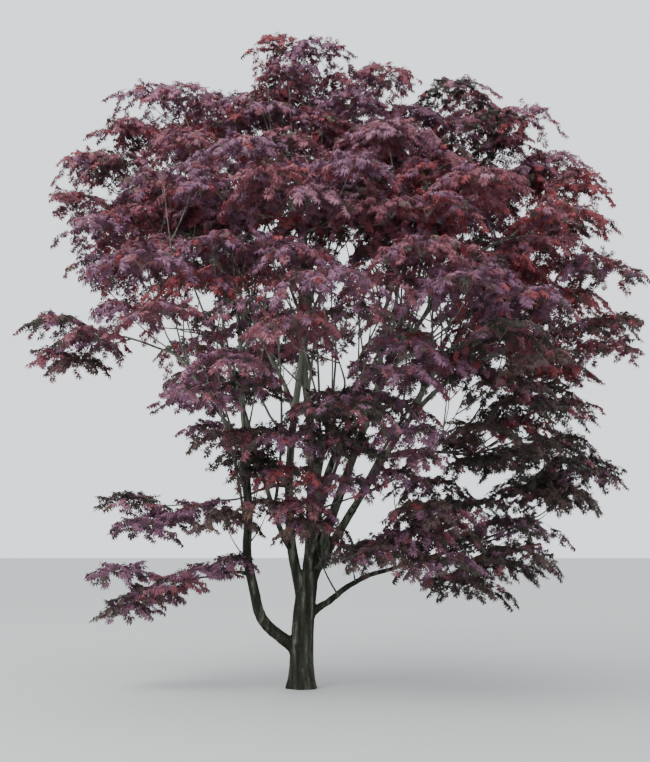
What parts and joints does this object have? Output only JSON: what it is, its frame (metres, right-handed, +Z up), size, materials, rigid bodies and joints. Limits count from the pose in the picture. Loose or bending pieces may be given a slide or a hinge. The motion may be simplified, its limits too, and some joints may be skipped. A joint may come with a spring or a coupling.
{
  "type": "japanese maple tree",
  "caption": "Mature purple-leaved japanese maple tree: short trunk forking low into a vase of long boughs, with tiers of wine-red palmate foliage in a broad rounded crown.",
  "frame": {"origin": "middle of the flat cut under the trunk, at ground level", "axes": "+Z up the trunk, +X to the right as the tree is seen from its best side at -Y, +Y away from that side"},
  "size_m": [7.2946, 7.08, 7.773],
  "materials": {
    "bark": "matte grey-brown bark, finely fissured, with paler streaks on the younger limbs",
    "leaves_wine": "soft satin leaf, wine red",
    "leaves_purple": "soft satin leaf, dusky purple",
    "leaves_crimson": "soft satin leaf, crimson where it is young"
  },
  "bodies": {
    "root": {"trunk": "bark", "bough_low_left": "bark", "bough_left": "bark", "bough_top": "bark", "bough_right_high": "bark", "bough_right_far": "bark", "bough_back_right": "bark", "bough_front_right": "bark", "bough_low_right": "bark", "bough_left_high": "bark", "bough_left_far": "bark", "bough_left_front": "bark", "bough_left_skirt": "bark", "bough_left_back": "bark", "bough_left_shelf": "bark", "bough_top_back": "bark", "bough_top_front": "bark", "bough_right_top": "bark", "bough_right_shoulder": "bark", "bough_right_front": "bark", "bough_right_under": "bark", "bough_back_left": "bark", "foliage_left_a": "leaves_purple", "foliage_left_b": "leaves_crimson", "foliage_top_a": "leaves_wine", "foliage_top_b": "leaves_purple", "foliage_right_high_a": "leaves_crimson", "foliage_right_high_b": "leaves_wine", "foliage_right_far_a": "leaves_purple", "foliage_right_far_b": "leaves_crimson", "foliage_back_right_a": "leaves_wine", "foliage_back_right_b": "leaves_purple", "foliage_front_right_a": "leaves_crimson", "foliage_front_right_b": "leaves_wine", "foliage_low_right_a": "leaves_purple", "foliage_low_right_b": "leaves_crimson", "foliage_left_high_a": "leaves_wine", "foliage_left_high_b": "leaves_purple", "foliage_left_far": "leaves_crimson", "foliage_left_front_a": "leaves_wine", "foliage_left_front_b": "leaves_purple", "foliage_left_skirt": "leaves_crimson", "foliage_left_back_a": "leaves_wine", "foliage_left_back_b": "leaves_purple", "foliage_left_shelf": "leaves_crimson", "foliage_top_back_a": "leaves_wine", "foliage_top_back_b": "leaves_purple", "foliage_top_front_a": "leaves_crimson", "foliage_top_front_b": "leaves_wine", "foliage_right_top_a": "leaves_purple", "foliage_right_top_b": "leaves_crimson", "foliage_right_shoulder_a": "leaves_wine", "foliage_right_shoulder_b": "leaves_purple", "foliage_right_front_a": "leaves_crimson", "foliage_right_front_b": "leaves_wine", "foliage_right_under_a": "leaves_purple", "foliage_right_under_b": "leaves_crimson", "foliage_back_left_a": "leaves_wine", "foliage_back_left_b": "leaves_purple"}
  },
  "joints": []
}
